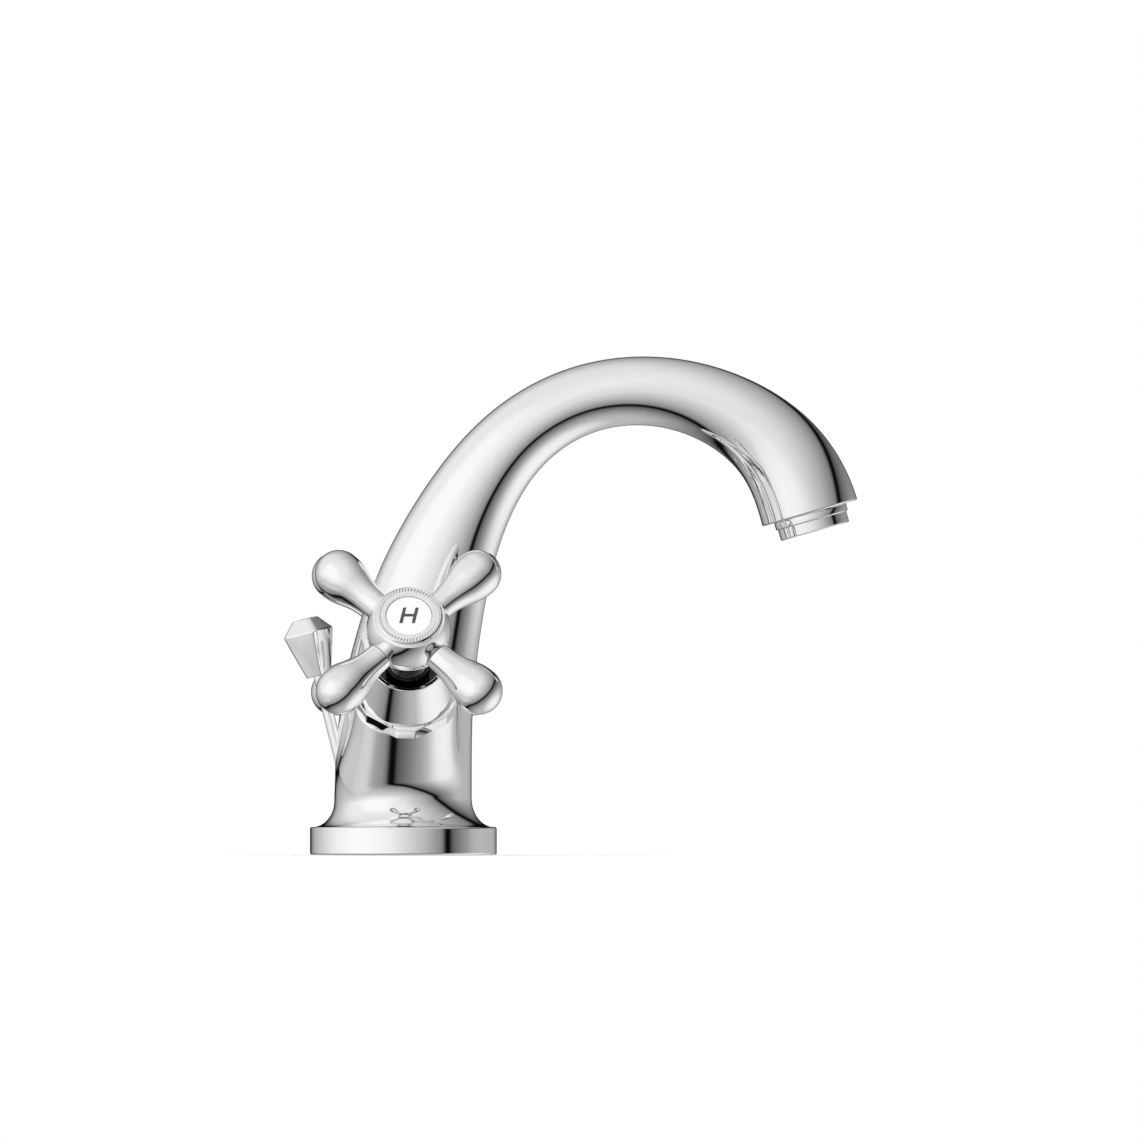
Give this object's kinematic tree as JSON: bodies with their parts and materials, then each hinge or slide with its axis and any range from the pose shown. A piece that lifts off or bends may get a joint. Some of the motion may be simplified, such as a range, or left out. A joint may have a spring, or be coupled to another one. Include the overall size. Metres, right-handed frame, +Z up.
{
  "type": "basin mixer faucet",
  "caption": "Single-hole basin mixer with a fixed swan-neck spout, two raked quarter-turn cross handles and a pop-up waste lift rod.",
  "frame": {"origin": "centre of the base face, where the column's axis meets the basin's deck", "axes": "+X the way the spout reaches, +Z up out of the basin, hot handle on the -Y side, cold on the +Y side"},
  "size_m": [0.1832, 0.1496, 0.1589],
  "materials": {
    "chrome": "bright chrome plate on brass",
    "brass": "machined",
    "porcelain": "white glaze",
    "ceramic": "lapped",
    "rubber": "matt black",
    "plastic": "moulded",
    "steel": "bright"
  },
  "bodies": {
    "faucet_body": {"body_casting": "chrome", "base_seal_ring": "rubber", "aerator_housing": "chrome", "aerator_insert": "plastic", "aerator_mesh": "steel", "aerator_washer": "rubber", "rod_guide_bush": "plastic", "hot_bonnet": "chrome", "hot_headwork": "brass", "hot_headwork_washer": "rubber", "hot_seat_seal": "rubber", "hot_fixed_disc": "ceramic", "cold_bonnet": "chrome", "cold_headwork": "brass", "cold_headwork_washer": "rubber", "cold_seat_seal": "rubber", "cold_fixed_disc": "ceramic"},
    "hot_handle": {"hot_moving_disc": "ceramic", "hot_spindle": "brass", "hot_spindle_seals": "rubber", "hot_spindle_clip": "steel", "hot_hub": "chrome", "hot_arm_1": "chrome", "hot_arm_2": "chrome", "hot_arm_3": "chrome", "hot_arm_4": "chrome", "hot_handle_screw": "steel", "hot_index_ring": "chrome", "hot_index_disc": "porcelain"},
    "cold_handle": {"cold_moving_disc": "ceramic", "cold_spindle": "brass", "cold_spindle_seals": "rubber", "cold_spindle_clip": "steel", "cold_hub": "chrome", "cold_arm_1": "chrome", "cold_arm_2": "chrome", "cold_arm_3": "chrome", "cold_arm_4": "chrome", "cold_handle_screw": "steel", "cold_index_ring": "chrome", "cold_index_disc": "porcelain"},
    "pop_up_rod": {"lift_rod": "chrome", "lift_knob": "chrome"}
  },
  "joints": [
    {"name": "hot_handle_turn", "type": "hinge", "parent": "faucet_body", "child": "hot_handle", "pos_m": [0.0009, -0.004, 0.0379], "axis": [0, -0.8434, 0.5373], "range_deg": [0, 90]},
    {"name": "cold_handle_turn", "type": "hinge", "parent": "faucet_body", "child": "cold_handle", "pos_m": [0.0009, 0.004, 0.0379], "axis": [0, -0.8434, -0.5373], "range_deg": [0, 90]},
    {"name": "lift_rod_slide", "type": "slide", "parent": "faucet_body", "child": "pop_up_rod", "axis": [-0.2419, 0, 0.9703], "range_m": [0, 0.02]}
  ]
}
